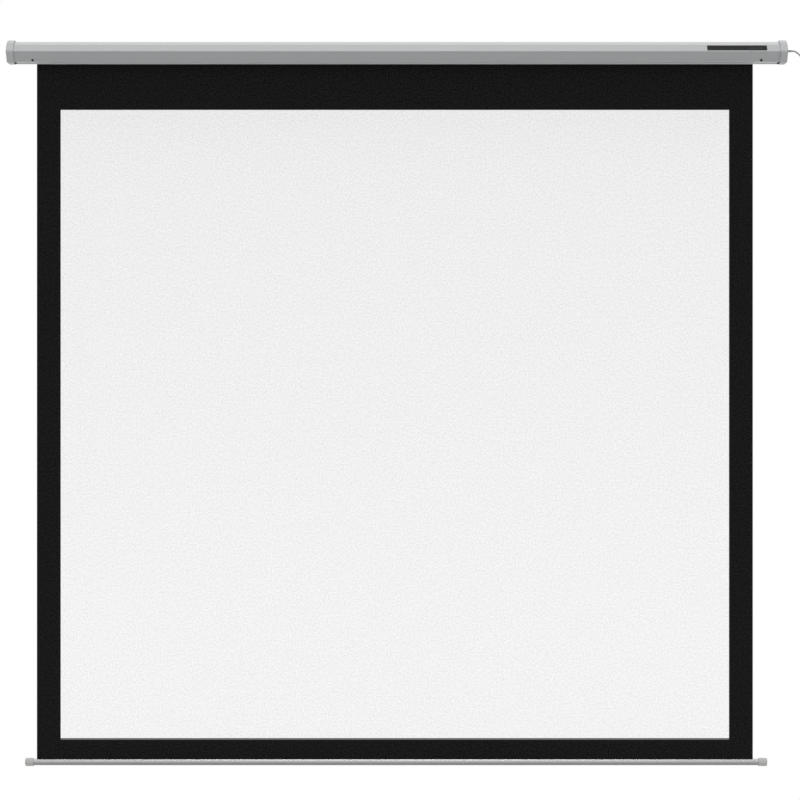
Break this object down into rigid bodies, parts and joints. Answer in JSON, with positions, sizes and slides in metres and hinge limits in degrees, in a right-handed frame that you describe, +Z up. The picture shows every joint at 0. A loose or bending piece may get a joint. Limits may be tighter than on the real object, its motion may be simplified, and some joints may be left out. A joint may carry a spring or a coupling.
{
  "type": "motorized projector screen",
  "caption": "Wall-hung roll-up projection screen: faceted steel case with end caps, motor roller, black-bordered white cloth, round bottom bar and mains cord.",
  "frame": {"origin": "middle of the case's flat back face, on the wall", "axes": "+Y into the wall, -Y towards the audience, +Z up, +X along the case to the right seen from the front"},
  "size_m": [2.3001, 0.0738, 2.025],
  "materials": {
    "case_paint": "satin",
    "cap_plastic": "satin",
    "black_steel": "satin",
    "zinc_steel": "satin",
    "motor_paint": "satin",
    "black_plastic": "matte",
    "grey_plastic": "matte",
    "brass": "satin",
    "black_cloth": "matte",
    "white_coat": "matte",
    "cord_plastic": "satin"
  },
  "bodies": {
    "housing": {"case_shell": "case_paint", "end_cap_left": "cap_plastic", "end_cap_right": "cap_plastic", "cap_screw_left": "black_steel", "cap_screw_right": "black_steel", "bracket_screw_left": "black_steel", "bracket_screw_right": "black_steel", "motor_bracket": "zinc_steel", "idler_bracket": "zinc_steel", "idler_bush": "grey_plastic", "hanger_plate_left": "zinc_steel", "hanger_plate_right": "zinc_steel", "motor_tube": "motor_paint", "motor_gearbox": "zinc_steel", "motor_head": "black_plastic", "control_box": "black_plastic", "screen_fabric": "black_cloth", "viewing_surface": "white_coat", "strain_relief": "cord_plastic", "power_cord": "cord_plastic", "cord_coil": "cord_plastic", "cord_tie": "black_plastic", "cord_tail": "cord_plastic", "plug_body": "cord_plastic", "plug_pin_front": "brass", "plug_pin_rear": "brass"},
    "roller": {"roller_tube": "zinc_steel", "fabric_wrap": "black_cloth", "drive_wheel": "black_plastic", "motor_shaft": "zinc_steel", "limit_crown": "black_plastic", "idler_plug": "black_plastic", "idler_pin": "zinc_steel"},
    "bottom_bar": {"bar_tube": "case_paint", "bar_cap_left": "cap_plastic", "bar_cap_right": "cap_plastic", "hem_rod": "zinc_steel"},
    "limit_screw_up": {"limit_screw_up": "brass"},
    "limit_screw_down": {"limit_screw_down": "brass"}
  },
  "joints": [
    {"name": "screen_travel", "type": "slide", "parent": "housing", "child": "bottom_bar", "axis": [0, 0, 1], "range_m": [0, 1.9316], "deforming": ["screen_fabric", "viewing_surface"]},
    {"name": "roller_spin", "type": "hinge", "parent": "housing", "child": "roller", "pos_m": [0, -0.03402, -0.0015], "axis": [1, 0, 0], "range_deg": [0, 4740]},
    {"name": "limit_screw_up_turn", "type": "hinge", "parent": "housing", "child": "limit_screw_up", "pos_m": [1.006, -0.02108, -0.01867], "axis": [0, 0.6018, -0.7986], "continuous": true},
    {"name": "limit_screw_down_turn", "type": "hinge", "parent": "housing", "child": "limit_screw_down", "pos_m": [1.0145, -0.02108, -0.01867], "axis": [0, 0.6018, -0.7986], "continuous": true}
  ],
  "couplings": [
    {"joint": "roller_spin", "follows": "screen_travel", "rad_per_m": 42.81}
  ]
}
